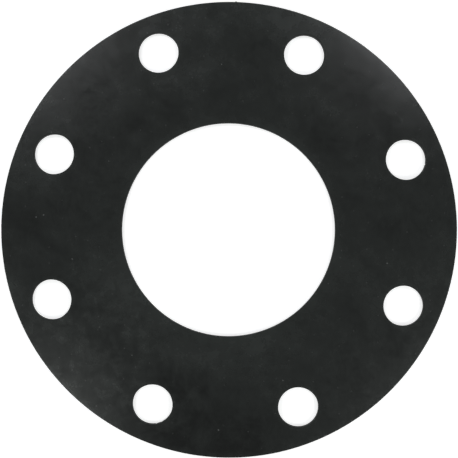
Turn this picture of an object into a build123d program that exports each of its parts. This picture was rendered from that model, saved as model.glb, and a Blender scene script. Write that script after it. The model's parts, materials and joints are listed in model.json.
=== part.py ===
from build123d import *
import os

# Full-face rubber gasket for a pipe flange, cut in one piece from flat sheet.
# Millimetres, +Z up. The origin is the centre of the bore on the underside, the sheet lies
# between z = 0 and its thickness, and the X and Y axes pass midway between bolt holes.

# Driving dimensions
bore_diameter = 101.0         # clear of a 100 mm pipe bore
bolt_circle_diameter = 180.0  # circle through the centres of the bolt holes
bolt_hole_diameter = 19.0     # clearance holes for M16 bolts
bolt_hole_count = 8
outer_land = 8.0              # rubber left between the bolt holes and the rim
sheet_thickness = 3.0

# Nib left standing on the rim where the cutter's start and finish don't quite meet.
# Its angle is counted from +X.
rim_nib_angle = 89.0
rim_nib_height = 0.3
rim_nib_width = 1.5

# Nicks where the cutter ran a little past the wall of a bolt hole. Each gives the hole's
# number, counted round from +X, and the nick's own angle round that hole, counted from the
# direction that points away from the bore.
hole_nick_depth = 0.2
hole_nick_width = 1.2
hole_nicks = [(0, -33.5), (5, 33.5), (5, 49.5)]

# Worked out from the driving dimensions
bolt_circle_radius = bolt_circle_diameter / 2
bolt_hole_radius = bolt_hole_diameter / 2
rim_radius = bolt_circle_radius + bolt_hole_radius + outer_land
hole_spacing = 360 / bolt_hole_count
first_hole_angle = hole_spacing / 2


with BuildPart() as gasket:
    with BuildSketch() as cut_outline:
        Circle(rim_radius)
        with PolarLocations(rim_radius, 1, start_angle=rim_nib_angle):
            Ellipse(rim_nib_height, rim_nib_width / 2)
        Circle(bore_diameter / 2, mode=Mode.SUBTRACT)
        with PolarLocations(bolt_circle_radius, bolt_hole_count, start_angle=first_hole_angle):
            Circle(bolt_hole_radius, mode=Mode.SUBTRACT)
        for hole_number, nick_angle in hole_nicks:
            hole_angle = first_hole_angle + hole_number * hole_spacing
            with PolarLocations(bolt_circle_radius, 1, start_angle=hole_angle):
                with PolarLocations(bolt_hole_radius, 1, start_angle=nick_angle):
                    Ellipse(hole_nick_depth, hole_nick_width / 2, mode=Mode.SUBTRACT)
    extrude(amount=sheet_thickness)

gasket.part.label = "gasket"
os.makedirs("parts", exist_ok=True)
export_step(gasket.part, "parts/gasket.step")
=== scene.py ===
import json
from math import cos, pi, radians, sin

import bmesh
import bpy
import numpy as np
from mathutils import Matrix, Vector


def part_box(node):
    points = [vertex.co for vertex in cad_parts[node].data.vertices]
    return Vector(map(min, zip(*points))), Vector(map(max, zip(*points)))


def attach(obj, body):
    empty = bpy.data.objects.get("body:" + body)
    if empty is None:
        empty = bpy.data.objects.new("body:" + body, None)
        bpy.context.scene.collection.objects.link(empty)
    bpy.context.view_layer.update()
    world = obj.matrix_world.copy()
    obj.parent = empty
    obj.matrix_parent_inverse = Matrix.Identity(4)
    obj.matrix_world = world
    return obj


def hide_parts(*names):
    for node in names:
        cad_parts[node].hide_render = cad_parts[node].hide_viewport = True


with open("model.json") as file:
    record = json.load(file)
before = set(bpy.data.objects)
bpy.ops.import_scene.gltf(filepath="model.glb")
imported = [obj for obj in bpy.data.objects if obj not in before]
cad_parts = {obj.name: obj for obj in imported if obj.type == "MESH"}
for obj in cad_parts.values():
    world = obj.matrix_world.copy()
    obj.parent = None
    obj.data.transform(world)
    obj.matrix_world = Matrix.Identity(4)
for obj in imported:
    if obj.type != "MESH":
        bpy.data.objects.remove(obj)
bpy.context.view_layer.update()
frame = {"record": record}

MM = 0.001

# ---------------------------------------------------------------------------------------
# Sizes, from the frame
# ---------------------------------------------------------------------------------------
mounts = {mount["name"]: mount["dims"] for mount in frame["record"]["mounts"]}
low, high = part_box("gasket")
underside = low.z
thickness = high.z - low.z
rim_radius = min(high.x, -low.x, -low.y)
bore_radius = mounts["bore"]["r_mm"] * MM
bolt_circle_radius = mounts["bolt_holes"]["pcd_mm"] / 2 * MM
hole_radius = mounts["bolt_holes"]["hole_r_mm"] * MM
hole_count = mounts["bolt_holes"]["count"]

edge_rounding = 0.12 * MM       # the faint round on every cut edge
edge_margin = 0.25 * MM         # strip of face next to each edge, which keeps the edge crisp
face_unevenness = 0.04 * MM     # how far the calendered face dips below flat

# The cutter's marks: a nib on the rim and nicks in the walls of two bolt holes. A nick is
# given by its hole's number and its bearing from the direction that points away from the bore.
nib_angle = radians(89.0)
nib_height = 0.3 * MM
nib_width = 1.5 * MM
nick_depth = 0.2 * MM
nick_width = 1.2 * MM
nicks = [(0, radians(-33.5)), (5, radians(33.5)), (5, radians(49.5))]


# ---------------------------------------------------------------------------------------
# The gasket's surface
# ---------------------------------------------------------------------------------------
FACE, CUT = 0, 1                # the two finishes, in the order of the materials

# How finely the surface is divided
rim_points = 73                 # along one hole's share of the rim, besides those at the marks
bore_points = 41                # along one hole's share of the bore
side_points = 25                # along each side of a hole's sector
ray_points = 13                 # along each ray from a hole to its sector's outline
mark_points = 13                # across the nib or a nick
least_rim_step = radians(0.02)  # the least turn from one point on the rim to the next
weld_distance = 0.001 * MM      # points closer than this are made one

# The face's unevenness, as crossing waves: length, heading in degrees, and phase in radians
face_waves = [(47 * MM, 20, 0.4), (61 * MM, 78, 2.1), (83 * MM, 131, 4.0), (38 * MM, 163, 5.2)]


def swell(offset, height, width):
    """Height of a smooth swelling on a line: one wave of a cosine, lifted to start at nothing."""
    return height / 2 * (1 + np.cos(2 * pi * np.clip(offset / width, -0.5, 0.5)))


def turn_between(angle, reference):
    """The signed turn from reference to angle, between minus and plus half a turn."""
    return (angle - reference + pi) % (2 * pi) - pi


def rim_bump(angle):
    """How far the rim stands out at each angle round the gasket: the nib, and else nothing."""
    return swell(turn_between(angle, nib_angle) * rim_radius, nib_height, nib_width)


def hole_bump(number, bearing):
    """How far each hole's wall is cut back at each bearing round it: its nicks."""
    depth = np.zeros(np.broadcast(number, bearing).shape)
    for nicked, nick_bearing in nicks:
        offset = turn_between(bearing, nick_bearing) * hole_radius
        depth += swell(offset, nick_depth, nick_width) * (number == nicked)
    return depth


def rim_angle_on_ray(bearing):
    """The angle round the gasket at which a ray from a hole's centre meets the rim, by the
    law of sines in the triangle of the bore's centre, the hole's centre and the rim."""
    return bearing - np.arcsin(bolt_circle_radius * np.sin(bearing) / rim_radius)


def cut_section(arc_steps=4, wall_steps=3):
    """Section of a cut edge, from the top face down to the underside: a quarter circle, a
    straight wall and a quarter circle. Gives how far each point stands back from the cut, and
    its height above the underside."""
    turn = np.linspace(0, pi / 2, arc_steps + 1)
    back = edge_rounding * (1 - np.sin(turn))
    drop = edge_rounding * (1 - np.cos(turn))
    wall = np.linspace(drop[-1], thickness - drop[-1], wall_steps + 1)[1:-1]
    back = np.concatenate([back, np.zeros_like(wall), back[::-1]])
    drop = np.concatenate([drop, wall, thickness - drop[::-1]])
    return back, thickness - drop


def sector_outline():
    """Outline of one hole's sector of the flat face, with the hole on the X axis: along the
    rim, in to the bore, back along the bore and out again. Gives each point's distance from
    the bore's centre and its angle, then how many points lie on the rim, a side and the bore."""
    half = pi / hole_count
    across = np.linspace(-0.5, 0.5, mark_points)
    marks = [nib_angle % (2 * half) - half + nib_width * across / rim_radius]
    for _, bearing in nicks:
        marks.append(rim_angle_on_ray(bearing + nick_width * across / hole_radius))
    rim = np.unique(np.concatenate([np.linspace(-half, half, rim_points)] + marks))
    rim = rim[np.concatenate([[True], np.diff(rim) > least_rim_step])]
    bore = np.linspace(half, -half, bore_points)
    outer, inner = rim_radius - edge_rounding, bore_radius + edge_rounding
    side = np.linspace(outer - edge_margin, inner + edge_margin, side_points)
    at_rim, at_bore = np.full_like(rim, outer), np.full_like(bore, inner)
    distance = np.concatenate([at_rim, side, at_bore, side[::-1]])
    angle = np.concatenate([rim, np.full_like(side, half), bore, np.full_like(side, -half)])
    return distance, angle, len(rim), len(side), len(bore)


def grid_faces(shape, start, closed):
    """Quads of a grid of points laid out row by row, its last row joined to its first where
    closed. The points are numbered from start."""
    rows, columns = shape
    number = start + np.arange(rows * columns).reshape(rows, columns)
    if closed:
        number = np.vstack([number, number[:1]])
    corners = [number[:-1, :-1], number[1:, :-1], number[1:, 1:], number[:-1, 1:]]
    return np.stack(corners, -1).reshape(-1, 4)


def face_dip(x, y):
    """How far the top face dips below flat: crossing sine waves of unlike length and heading,
    brought to between nothing and face_unevenness."""
    total = np.zeros_like(x)
    for length, heading, phase in face_waves:
        along = x * cos(radians(heading)) + y * sin(radians(heading))
        total += np.sin(2 * pi * along / length + phase)
    return face_unevenness * (0.5 + 0.5 * total / len(face_waves))


def gasket_surface():
    """Every point and quad of the gasket, and each quad's finish. Each hole's sector has rays
    that run from the wall of its hole to its outline: the two faces follow the rays, and the
    cut section is carried round the holes, the rim and the bore."""
    distance, angle, on_rim, on_side, on_bore = sector_outline()
    back, height = cut_section()
    points, quads, finishes = [], [], []
    count = 0

    def lay(x, y, z, closed, finish):
        nonlocal count
        points.append(np.stack(np.broadcast_arrays(x, y, z), -1).reshape(-1, 3))
        quads.append(grid_faces(x.shape, count, closed))
        finishes.append(np.full(len(quads[-1]), finish))
        count += x.size

    share = np.linspace(0, 1, ray_points)
    for number in range(hole_count):
        direction = (2 * number + 1) * pi / hole_count
        centre = bolt_circle_radius * np.array([cos(direction), sin(direction)])
        turned = direction + angle
        rim_part = np.zeros_like(angle)
        rim_part[:on_rim] = rim_bump(turned[:on_rim])
        end_x = (distance + rim_part) * np.cos(turned)
        end_y = (distance + rim_part) * np.sin(turned)
        heading = np.arctan2(end_y - centre[1], end_x - centre[0])
        wall = hole_radius + hole_bump(number, heading - direction)

        # Both faces, along the rays, with a narrow strip next to each edge
        start_x = centre[0] + (wall + edge_rounding) * np.cos(heading)
        start_y = centre[1] + (wall + edge_rounding) * np.sin(heading)
        reach = np.hypot(end_x - start_x, end_y - start_y)[:, None]
        between = edge_margin + (reach - 2 * edge_margin) * share
        along = np.hstack([0 * reach, between, reach])
        x = start_x[:, None] + along * np.cos(heading)[:, None]
        y = start_y[:, None] + along * np.sin(heading)[:, None]
        lay(x, y, thickness, True, FACE)
        lay(x, y, 0.0, True, FACE)

        # The cut walls of the hole, the rim and the bore
        radius = wall[:, None] + back
        x = centre[0] + radius * np.cos(heading)[:, None]
        y = centre[1] + radius * np.sin(heading)[:, None]
        lay(x, y, height, True, CUT)
        rim = turned[:on_rim, None]
        radius = rim_radius + rim_part[:on_rim, None] - back
        lay(radius * np.cos(rim), radius * np.sin(rim), height, False, CUT)
        first = on_rim + on_side
        bore = turned[first:first + on_bore, None]
        radius = bore_radius + back
        lay(radius * np.cos(bore), radius * np.sin(bore), height, False, CUT)

    points = np.concatenate(points)
    points[:, 2] -= face_dip(points[:, 0], points[:, 1]) * points[:, 2] / thickness
    points[:, 2] += underside
    return points, np.concatenate(quads), np.concatenate(finishes)


def closed_mesh(name, points, quads, finishes):
    """A mesh of those points, quads and finishes, with the points that meet made one and its
    faces turned outwards."""
    mesh = bpy.data.meshes.new(name)
    mesh.from_pydata(points.tolist(), [], quads.tolist())
    mesh.polygons.foreach_set("material_index", finishes)
    shell = bmesh.new()
    shell.from_mesh(mesh)
    bmesh.ops.remove_doubles(shell, verts=shell.verts, dist=weld_distance)
    bmesh.ops.recalc_face_normals(shell, faces=shell.faces)
    shell.to_mesh(mesh)
    shell.free()
    mesh.shade_smooth()
    return mesh


# ---------------------------------------------------------------------------------------
# Materials
# ---------------------------------------------------------------------------------------
class NodeGraph:
    """Builds one material's nodes. Each call adds a node and returns the output to link on."""

    def __init__(self, name):
        self.material = bpy.data.materials.new(name)
        self.material.use_nodes = True
        self.nodes = self.material.node_tree.nodes
        self.links = self.material.node_tree.links
        self.nodes.clear()

    def add(self, kind, inputs=(), output=0, **settings):
        node = self.nodes.new(kind)
        for key, value in settings.items():
            setattr(node, key, value)
        for socket, value in dict(inputs).items():
            if isinstance(value, bpy.types.NodeSocket):
                self.links.new(value, node.inputs[socket])
            else:
                node.inputs[socket].default_value = value
        return node.outputs[output] if node.outputs else None

    def math(self, operation, *values):
        return self.add("ShaderNodeMath", dict(enumerate(values)), operation=operation)

    def vector(self, operation, *values):
        output = "Value" if operation in ("LENGTH", "DISTANCE") else "Vector"
        return self.add("ShaderNodeVectorMath", dict(enumerate(values)), output, operation=operation)

    def noise(self, where, size, detail=2.0, roughness=0.5, output="Fac"):
        """Noise from 0 to 1 whose features are about size across."""
        inputs = {"Vector": where, "Scale": 1 / size, "Detail": detail, "Roughness": roughness}
        return self.add("ShaderNodeTexNoise", inputs, output)

    def ramp(self, value, low_in, high_in, low_out=0.0, high_out=1.0, kind="SMOOTHSTEP"):
        """Maps value from one range to another and holds it outside, eased at both ends unless
        kind is LINEAR."""
        inputs = {0: value, 1: low_in, 2: high_in, 3: low_out, 4: high_out}
        return self.add("ShaderNodeMapRange", inputs, interpolation_type=kind)

    def mix(self, amount, first, second):
        inputs = {0: amount, 6: first, 7: second}
        return self.add("ShaderNodeMix", inputs, 2, data_type="RGBA")

    def placed(self, where, centre, size, turn):
        """Coordinates measured from centre along axes turned by that many degrees, in which
        size is 1."""
        rotation = (0, 0, radians(turn))
        inputs = {"Vector": where, "Location": centre, "Rotation": rotation, "Scale": size}
        return self.add("ShaderNodeMapping", inputs, vector_type="TEXTURE")

    def strayed(self, where, size, reach, detail):
        """Coordinates that wander sideways in swirls of that size, by up to half of reach."""
        offset = self.noise(where, size, detail, output="Color")
        offset = self.vector("SUBTRACT", offset, (0.5, 0.5, 0.5))
        return self.vector("MULTIPLY_ADD", offset, (reach, reach, 0), where)


def rubber_grey(value):
    """A grey of that lightness with the faint green of the rubber."""
    return (0.86 * value, value, 0.925 * value, 1.0)


# Colours. The faces run from clean to bloomed, which also gives the painted sheen and
# painted shade of some bloom patches, and the cut walls from dark to light.
clean_face = rubber_grey(0.0055)
bloomed_face = rubber_grey(0.036)
dust_grey = (0.074, 0.078, 0.076, 1.0)
dark_cut = rubber_grey(0.006)
light_cut = rubber_grey(0.016)

# Roughness of the finishes, and how much the dust adds
clean_roughness, bloomed_roughness = 0.17, 0.42
dust_roughness = 0.45
cut_roughness = (0.62, 0.80)

# How the patterns' coordinates are scaled through the thickness: the faces' so far that the
# two faces don't show the same pattern, and the walls' so little that the lines run upright
face_scaling = 30.0
wall_scaling = 0.06

# Fine relief: the size of its features and its depth
face_grain = (0.4 * MM, 0.006 * MM)
face_ripple = (11 * MM, 0.065 * MM)
knife_lines = (0.22 * MM, 0.03 * MM)

rubber_ior = 1.5                # refractive index
cut_reflection = 0.15           # of the cut walls, where 0.5 is what rubber_ior alone gives

# Bloom: its average amount, how far out a patch has faded away, with 1 at its outline, and the
# sizes of the blotches and wisps within the patches
average_bloom = 0.235
patch_end = 1.25
blotch_size = 9 * MM
wisp_size = 5 * MM

# How outlines wander: the size of the swirls, and twice the most that they move
patch_wander = (24 * MM, 18 * MM)
speck_wander = (0.8 * MM, 0.5 * MM)

# Where the bloom lies heavier on the top face, or lighter where the amount is below nothing.
# Beside real bloom, some patches are painted sheen and painted shade, in colour and roughness,
# that widen some of the lamps' reflections and trim others: centre in x and y, length and
# width in millimetres, turn in degrees and amount
bloom_and_painted_light_patches = [
    (-42, -38, 98, 34, -48, 0.16),
    (8, -56, 56, 24, 6, 0.20),
    (48, -28, 46, 24, 60, 0.08),
    (-20, -71, 42, 24, -16, -0.22),
    (-8, -100, 90, 44, -4, -0.20),
    (-88, 24, 36, 24, 75, 0.15),
    (-96, 0, 30, 36, 0, -0.07),
    (-41, 49, 52, 26, 40, -0.13),
    (-19, 73, 30, 22, 15, 0.22),
    (-34, 88, 40, 24, 25, 0.18),
    (5, 100, 90, 24, -3, 0.16),
    # painted shade: the next three dim the lamps' reflections where they reach too far in
    (46, 46, 46, 22, -45, -0.12),
    (81, 47, 32, 22, -60, -0.12),
    (81, -47, 34, 20, 60, -0.12),
    (104, 3, 64, 12, 90, 0.08),
    # painted sheen: carries the right-back lamp's reflection further along the rim
    (28, 101, 32, 12, -15, 0.18),
    # painted shade: cuts off the left-back lamp's reflection at its end
    (-53, 91, 26, 12, 30, -0.12),
    (-101, 27, 24, 12, 75, 0.14),
    (-101, -27, 24, 12, -75, 0.14),
    (-65, -65, 50, 20, -55, 0.08),
    # painted shade: narrows the right-back lamp's reflection towards the middle
    (65, 65, 40, 20, -45, -0.08),
]

# The widest patch, along which the bloom lies in fine wisps: as above
wispy_patch = (-54, -56, 140, 74, -46, 0.16)

# The narrow strip along every cut edge that is drawn paler: its width, and the amount
# at the edge itself
pale_at_rim = (3 * MM, 0.13)
pale_at_bore = (5 * MM, 0.17)
pale_at_hole = (2 * MM, 0.14)

# Dust: how fully a listed speck covers the rubber, the faintest to the strongest cover of the
# scattered ones, and the width of the cells over which they are scattered
speck_cover = 0.85
scattered_cover = (0.0, 0.22)
scatter_cell = 6 * MM

# Specks of dust on the top face: x, y and diameter in millimetres
dust_specks = [
    (-4.5, 78, 0.6),
    (-57, 31.5, 0.5),
    (-87.5, 5.5, 0.7),
    (-91, 4.5, 0.6),
    (-73.5, -15, 0.6),
    (75, -14.5, 0.7),
    (-3, -94.5, 0.8),
    (11, -95, 0.4),
    (27, -70.5, 0.6),
    (-44.5, -60, 0.5),
]


def cloudy_bloom(graph, place):
    """The bloom's own pattern: broad clouds, wiped streaks and finer and finer mottles, about
    an average amount."""
    wiped = graph.placed(place, (0, 0, 0), (2.4, 1.0, 1.0), -40)
    amount = average_bloom
    for pattern, weight in (
        (graph.noise(place, 48 * MM, 2.0), 0.20),
        (graph.noise(wiped, 14 * MM, 2.0, 0.45), 0.34),
        (graph.noise(place, 6 * MM, 2.0, 0.5), 0.27),
        (graph.noise(place, 1.9 * MM, 1.0, 0.5), 0.20),
        (graph.noise(place, 0.9 * MM, 1.0), 0.11),
    ):
        centred = graph.math("SUBTRACT", pattern, 0.5)
        amount = graph.math("MULTIPLY_ADD", centred, weight, amount)
    return amount


def distance_in_patch(graph, where, x, y, length, width, turn):
    """Distance from the centre of an oval patch, with 1 at its outline."""
    size = (length / 2 * MM, width / 2 * MM, 1.0)
    return graph.vector("LENGTH", graph.placed(where, (x * MM, y * MM, 0), size, turn))


def blotchy_patches(graph, strayed):
    """What the listed patches add to the bloom, some of it real bloom and some painted sheen and
    painted shade on the lamps' reflections. Each fades from its centre to a little past its
    outline, and is broken up into blotches."""
    extra = 0.0
    for *outline, weight in bloom_and_painted_light_patches:
        away = distance_in_patch(graph, strayed, *outline)
        extra = graph.math("MULTIPLY_ADD", graph.ramp(away, patch_end, 0.0), weight, extra)
    blotches = graph.noise(strayed, blotch_size, 2.0, 0.5)
    blotches = graph.ramp(blotches, 0.3, 0.7, 0.4, 1.6, kind="LINEAR")
    return graph.math("MULTIPLY", extra, blotches)


def wisps(graph, place, strayed):
    """What the wisps of the widest patch add to the bloom, or take from it."""
    *outline, weight = wispy_patch
    away = distance_in_patch(graph, strayed, *outline)
    strands = graph.ramp(graph.noise(place, wisp_size, 3.0, 0.5), 0.35, 0.75)
    strands = graph.math("SUBTRACT", strands, 0.35)
    return graph.math("MULTIPLY", strands, graph.ramp(away, 1.1, 0.5, 0.0, weight))


def bloom_and_painted_light_amount(graph, place, top):
    """How heavily the bloom lies, from 0 to 1: its own pattern, and on the top face the
    patches and the wisps, whose outlines wander by a few millimetres. Some of the patches are
    painted sheen and painted shade."""
    amount = cloudy_bloom(graph, place)
    strayed = graph.strayed(place, *patch_wander, 2.0)
    extra = blotchy_patches(graph, strayed)
    extra = graph.math("ADD", extra, wisps(graph, place, strayed))
    amount = graph.math("MULTIPLY_ADD", extra, top, amount)
    return graph.ramp(amount, 0.0, 1.0, kind="LINEAR")


def edge_paleness(graph, place):
    """How far the strips along the rim, the bore and the bolt holes are paled, each from its
    distance to that edge. The holes' sectors are all turned onto one that has its hole on
    the X axis."""
    flat = graph.vector("MULTIPLY", place, (1.0, 1.0, 0.0))
    outwards = graph.vector("LENGTH", flat)
    half = pi / hole_count
    x = graph.add("ShaderNodeSeparateXYZ", {0: flat}, "X")
    y = graph.add("ShaderNodeSeparateXYZ", {0: flat}, "Y")
    angle = graph.math("SUBTRACT", graph.math("WRAP", graph.math("ARCTAN2", y, x), 2 * half, 0.0), half)
    turned = {
        "X": graph.math("MULTIPLY", outwards, graph.math("COSINE", angle)),
        "Y": graph.math("MULTIPLY", outwards, graph.math("SINE", angle)),
    }
    turned = graph.add("ShaderNodeCombineXYZ", turned)
    from_hole = graph.vector("DISTANCE", turned, (bolt_circle_radius, 0.0, 0.0))

    paleness = 0.0
    for distance, edge, inwards, (width, amount) in (
        (outwards, rim_radius, -1, pale_at_rim),
        (outwards, bore_radius, 1, pale_at_bore),
        (from_hole, hole_radius, 1, pale_at_hole),
    ):
        strip = graph.ramp(distance, edge + inwards * width, edge, 0.0, amount, kind="LINEAR")
        paleness = graph.math("MAXIMUM", paleness, strip)
    return paleness


def dust_amount(graph, place, top):
    """Where dust lies, from 0 to 1: the listed specks, and a scatter of smaller, fainter ones
    in some of the cells of a Voronoi pattern. All have ragged outlines."""
    ragged = graph.strayed(place, *speck_wander, 1.0)
    flat = graph.vector("MULTIPLY", ragged, (1.0, 1.0, 0.0))
    dust = 0.0
    for x, y, diameter in dust_specks:
        away = graph.vector("DISTANCE", flat, (x * MM, y * MM, 0))
        speck = graph.ramp(away, diameter * 0.6 * MM, diameter * 0.3 * MM, 0.0, speck_cover)
        dust = graph.math("MAXIMUM", dust, speck)

    cells = {"Vector": flat, "Scale": 1 / scatter_cell}
    away = graph.add("ShaderNodeTexVoronoi", cells, "Distance", voronoi_dimensions="2D")
    chance = graph.add("ShaderNodeTexVoronoi", cells, "Color", voronoi_dimensions="2D")
    chance = graph.add("ShaderNodeSeparateColor", {0: chance}, "Red")
    cover = graph.ramp(away, 0.07, 0.03)
    faint = graph.math("MULTIPLY", cover, graph.ramp(chance, 0.65, 1.0, *scattered_cover))
    return graph.math("MULTIPLY", graph.math("MAXIMUM", dust, faint), top)


def calendered_face():
    """The sheet's two faces: smooth black rubber from the calender, a little green, with an
    uneven bloom that greys and dulls it, and dust on the upper one. On the upper face the
    bloom's amount also carries painted sheen and painted shade on the lamps' reflections."""
    graph = NodeGraph("calendered_face")
    place = graph.add("ShaderNodeTexCoord", output="Object")
    normal = graph.add("ShaderNodeTexCoord", output="Normal")
    top = graph.ramp(graph.add("ShaderNodeSeparateXYZ", {0: normal}, "Z"), 0.5, 0.9)
    place = graph.vector("MULTIPLY", place, (1.0, 1.0, face_scaling))
    bloom_and_painted_light = bloom_and_painted_light_amount(graph, place, top)
    dust = dust_amount(graph, place, top)

    paleness = graph.math("ADD", bloom_and_painted_light, edge_paleness(graph, place))
    colour = graph.mix(paleness, clean_face, bloomed_face)
    colour = graph.mix(dust, colour, dust_grey)
    dullness = graph.ramp(bloom_and_painted_light, 0.0, 1.0, clean_roughness, bloomed_roughness, kind="LINEAR")
    dullness = graph.math("MULTIPLY_ADD", dust, dust_roughness, dullness)

    size, depth = face_grain
    grain = {"Strength": 0.3, "Distance": depth, "Height": graph.noise(place, size, 2.0)}
    size, depth = face_ripple
    ripple = {"Strength": 1.0, "Distance": depth, "Height": graph.noise(place, size, 2.0)}
    ripple["Normal"] = graph.add("ShaderNodeBump", grain)

    shader = {
        "Base Color": colour,
        "Roughness": dullness,
        "Normal": graph.add("ShaderNodeBump", ripple),
        "IOR": rubber_ior,
    }
    surface = graph.add("ShaderNodeBsdfPrincipled", shader)
    graph.add("ShaderNodeOutputMaterial", {"Surface": surface})
    return graph.material


def cut_edge():
    """The cut walls: duller and a little darker than the faces, with the fine upright lines
    that the knife leaves."""
    graph = NodeGraph("cut_edge")
    place = graph.add("ShaderNodeTexCoord", output="Object")
    upright = graph.vector("MULTIPLY", place, (1.0, 1.0, wall_scaling))
    size, depth = knife_lines
    lines = graph.noise(upright, size, 3.0, 0.6)
    patchy = graph.noise(place, 3 * MM, 2.0)
    shade = graph.math("MULTIPLY_ADD", lines, 0.5, graph.math("MULTIPLY", patchy, 0.5))
    bump = {"Strength": 0.6, "Distance": depth, "Height": lines}

    shader = {
        "Base Color": graph.mix(graph.ramp(shade, 0.3, 0.7), dark_cut, light_cut),
        "Roughness": graph.ramp(lines, 0.3, 0.7, *cut_roughness),
        "Normal": graph.add("ShaderNodeBump", bump),
        "IOR": rubber_ior,
        "Specular IOR Level": cut_reflection,
    }
    surface = graph.add("ShaderNodeBsdfPrincipled", shader)
    graph.add("ShaderNodeOutputMaterial", {"Surface": surface})
    return graph.material


# The floor and the ceiling. Glow is in shares of full white. The floor's is weaker up to one
# distance from the middle, and stronger from another.
floor_colour = (0.8, 0.8, 0.8, 1.0)
ceiling_colour = (0.97, 1.0, 0.99, 1.0)
floor_glow = (0.58, 0.80)
floor_glow_distances = (0.12, 0.50)     # metres
ceiling_glow = 0.22


def floor_white():
    """White floor. Camera, glossy and transmitted rays see it lifted towards full white, most
    of all out beyond the lamps, which leaves the gasket's shadow on it."""
    graph = NodeGraph("floor_white")
    diffuse = graph.add("ShaderNodeBsdfDiffuse", {"Color": floor_colour})
    path = graph.nodes.new("ShaderNodeLightPath").outputs
    seen = graph.math("MAXIMUM", path["Is Camera Ray"], path["Is Glossy Ray"])
    seen = graph.math("MAXIMUM", seen, path["Is Transmission Ray"])
    outwards = graph.vector("LENGTH", graph.add("ShaderNodeTexCoord", output="Object"))
    lift = graph.math("MULTIPLY", seen, graph.ramp(outwards, *floor_glow_distances, *floor_glow))
    glow = graph.add("ShaderNodeEmission", {"Strength": lift})
    both = graph.add("ShaderNodeAddShader", {0: diffuse, 1: glow})
    graph.add("ShaderNodeOutputMaterial", {"Surface": both})
    return graph.material


def ceiling_grey():
    """The dim ceiling that the gasket mirrors, at an even glow."""
    graph = NodeGraph("ceiling_grey")
    glow = graph.add("ShaderNodeEmission", {"Color": ceiling_colour, "Strength": ceiling_glow})
    graph.add("ShaderNodeOutputMaterial", {"Surface": glow})
    return graph.material


# ---------------------------------------------------------------------------------------
# Studio
# ---------------------------------------------------------------------------------------
camera_height = 350 * MM        # above the top face
camera_place = (4.5 * MM, 0.45 * MM)
camera_lean = radians(0.68)     # from upright, back towards the gasket's middle
camera_turn = radians(0.97)     # which turns the gasket clockwise in the view
rim_share_of_view = 0.9957      # the rim's width as a share of the view's
lamp_height = 300 * MM
lamp_depth = 120 * MM           # the other side of its rectangle
floor_width = 40.0              # metres, as are the ceiling's
ceiling_width = 4.6
ceiling_height = 0.9


def make_camera():
    """The camera, nearly straight above, with a lens that lets the rim fill that share."""
    data = bpy.data.cameras.new("camera")
    data.sensor_width = 36.0
    data.lens = data.sensor_width / 2 * rim_share_of_view * camera_height / rim_radius
    data.clip_start, data.clip_end = 0.01, 100.0
    camera = bpy.data.objects.new("camera", data)
    camera.location = (*camera_place, underside + thickness + camera_height)
    camera.rotation_euler = (0.0, camera_lean, camera_turn)
    bpy.context.scene.collection.objects.link(camera)
    bpy.context.scene.camera = camera


def make_lamp(name, azimuth, distance, width, radiance, colour):
    """A soft lamp of that width in millimetres and that radiance, facing the gasket's centre. It
    stands azimuth degrees round the gasket, at that distance in millimetres across the floor."""
    data = bpy.data.lights.new(name, "AREA")
    data.shape = "RECTANGLE"
    data.size = width * MM
    data.size_y = lamp_depth
    data.energy = radiance * pi * data.size * data.size_y
    data.color = colour
    lamp = bpy.data.objects.new(name, data)
    around = radians(azimuth)
    across_floor = distance * MM
    lamp.location = (across_floor * cos(around), across_floor * sin(around), lamp_height)
    lamp.rotation_mode = "QUATERNION"
    lamp.rotation_quaternion = lamp.location.to_track_quat("Z", "Y")
    bpy.context.scene.collection.objects.link(lamp)


def make_lamps():
    """Four soft lamps round the gasket, unlike in size and strength, the back pair bluer."""
    back, front = (0.982, 0.99, 1.018), (0.97, 1.0, 0.98)
    make_lamp("lamp_right_back", 50, 265, 100, 5.4, back)
    make_lamp("lamp_left_back", 135, 285, 150, 6.3, back)
    make_lamp("lamp_left_front", 225, 295, 90, 8.8, front)
    make_lamp("lamp_right_front", 320, 325, 190, 6.5, front)


def make_stage_plane(name, width, height, material):
    """A level square plane that belongs to the stage and not to the gasket."""
    bpy.ops.mesh.primitive_plane_add(size=width, location=(0.0, 0.0, height))
    plane = bpy.context.object
    plane.name = name
    plane.data.materials.append(material)


def make_room():
    """A white floor under a dim ceiling, in a room that is white all round."""
    make_stage_plane("floor", floor_width, underside, floor_white())
    make_stage_plane("ceiling", ceiling_width, ceiling_height, ceiling_grey())
    world = bpy.data.worlds.new("room")
    world.use_nodes = True
    background = world.node_tree.nodes["Background"]
    background.inputs["Color"].default_value = (1.0, 1.0, 1.0, 1.0)
    background.inputs["Strength"].default_value = 1.0
    bpy.context.scene.world = world


# ---------------------------------------------------------------------------------------
# Making
# ---------------------------------------------------------------------------------------
make_camera()

sheet = bpy.data.objects.new("gasket_sheet", closed_mesh("gasket_sheet", *gasket_surface()))
bpy.context.scene.collection.objects.link(sheet)
sheet.data.materials.append(calendered_face())
sheet.data.materials.append(cut_edge())
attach(sheet, "root")
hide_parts("gasket")

make_lamps()
make_room()
bpy.context.scene.view_settings.view_transform = "Standard"
